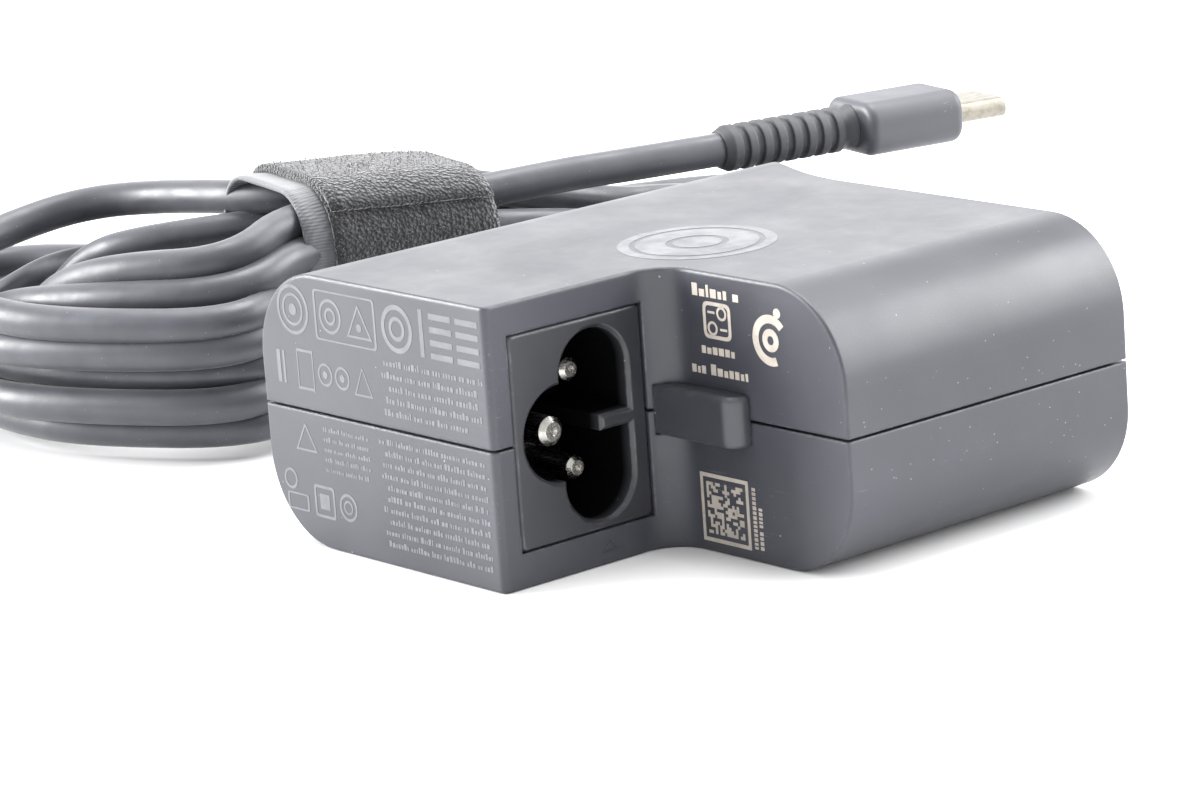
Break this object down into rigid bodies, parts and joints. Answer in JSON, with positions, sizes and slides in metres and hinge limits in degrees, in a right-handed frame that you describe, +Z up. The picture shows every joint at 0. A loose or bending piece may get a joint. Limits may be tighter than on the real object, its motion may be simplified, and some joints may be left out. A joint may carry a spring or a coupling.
{
  "type": "laptop power adapter",
  "caption": "Compact two-shell laptop power adapter with a three-pin inlet in a corner notch and a captive output cord wound in a strapped bundle.",
  "frame": {"origin": "middle of the case's underside, on the surface it lies on", "axes": "+Z up; +X is the side the inlet faces; +Y is the end where the output cord leaves, along the case's longest side"},
  "size_m": [0.1556, 0.1222, 0.0285],
  "materials": {
    "case": "fine-grained dark grey moulding, slightly shiny where it is handled",
    "inlet": "smoother black moulding",
    "rail": "dark moulding rubbed smooth by the clip-on plug",
    "pin": "nickel-plated, dull at the tips",
    "cord": "dark grey flexible jacket with a satin surface",
    "strap": "hook-and-loop tape, fuzzy pile with a smooth woven edge",
    "plug": "dark moulding",
    "plug_tip": "nickel-plated folded sheet",
    "contact": "gold-plated contacts",
    "board": "glass-fibre board under green lacquer",
    "film": "pale insulating sheet",
    "aluminium": "rolled sheet",
    "thermal": "soft heat-conducting pad",
    "ferrite": "dark sintered ferrite",
    "winding": "enamelled copper wire under tape",
    "moulding": "moulded component bodies",
    "lacquer": "lacquered discs",
    "film_box": "potted film capacitor box",
    "can": "capacitor can in a printed sleeve",
    "wire": "insulated hook-up wire"
  },
  "bodies": {
    "root": {"ac_inlet_housing": "inlet", "bridge_rectifier": "moulding", "bulk_capacitor_back": "can", "bulk_capacitor_front": "can", "cable_strap": "strap", "choke_core": "ferrite", "choke_windings": "winding", "cord_strain_relief": "cord", "earth_pin": "pin", "earth_wire": "wire", "heat_spreader_lower": "aluminium", "heat_spreader_upper": "aluminium", "input_fuse": "moulding", "inrush_thermistor": "moulding", "insulation_sheet": "film", "latch_rail": "rail", "line_pin": "pin", "line_wire": "wire", "lower_shell": "case", "main_circuit_board": "board", "neutral_pin": "pin", "neutral_wire": "wire", "optocoupler": "moulding", "output_capacitor_back": "can", "output_capacitor_front": "can", "output_control_board": "board", "output_control_chip": "moulding", "output_cord_coil": "cord", "output_cord_lead": "cord", "output_cord_tail": "cord", "output_positive_wire": "wire", "output_return_wire": "wire", "primary_controller_chip": "moulding", "primary_heat_sink": "aluminium", "primary_switch": "moulding", "surge_varistor": "lacquer", "synchronous_rectifier": "moulding", "thermal_pad": "thermal", "transformer_bobbin": "moulding", "transformer_core_lower": "ferrite", "transformer_core_upper": "ferrite", "transformer_winding": "winding", "upper_shell": "case", "usb_plug_contact_block": "plug", "usb_plug_contacts": "contact", "usb_plug_overmold": "plug", "usb_plug_shell": "plug_tip", "usb_plug_strain_relief": "cord", "x_capacitor": "film_box", "y_capacitor": "lacquer"}
  },
  "joints": []
}
